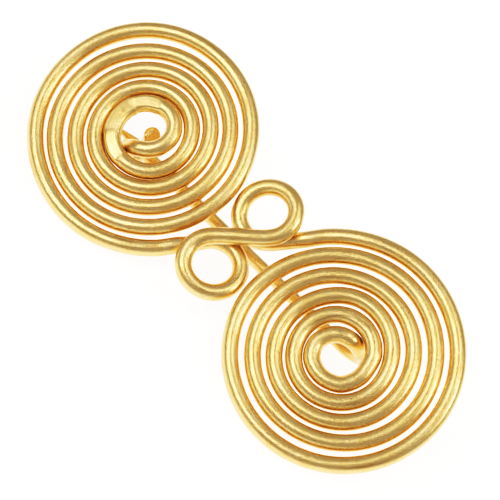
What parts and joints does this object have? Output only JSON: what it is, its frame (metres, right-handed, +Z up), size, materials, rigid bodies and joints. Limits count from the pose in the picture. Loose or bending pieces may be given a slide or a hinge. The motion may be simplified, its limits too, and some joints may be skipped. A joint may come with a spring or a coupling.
{
  "type": "fibula brooch",
  "caption": "Spectacle fibula: two flat wire spirals joined by a figure-eight, with a sprung pin and a catch hook behind, bent from one wire.",
  "frame": {"origin": "centre of the footprint, at the surface the brooch lies on", "axes": "+X along the brooch from the disc with the catch to the disc with the pin's root; +Z up, with the spiral discs facing up and leaning about 25 degrees, as the brooch lies loose on its back"},
  "size_m": [0.0832, 0.0354, 0.0175],
  "materials": {
    "wire": "satin drawn wire, warm gold colour"
  },
  "bodies": {
    "root": {"fibula_wire": "wire"}
  },
  "joints": []
}
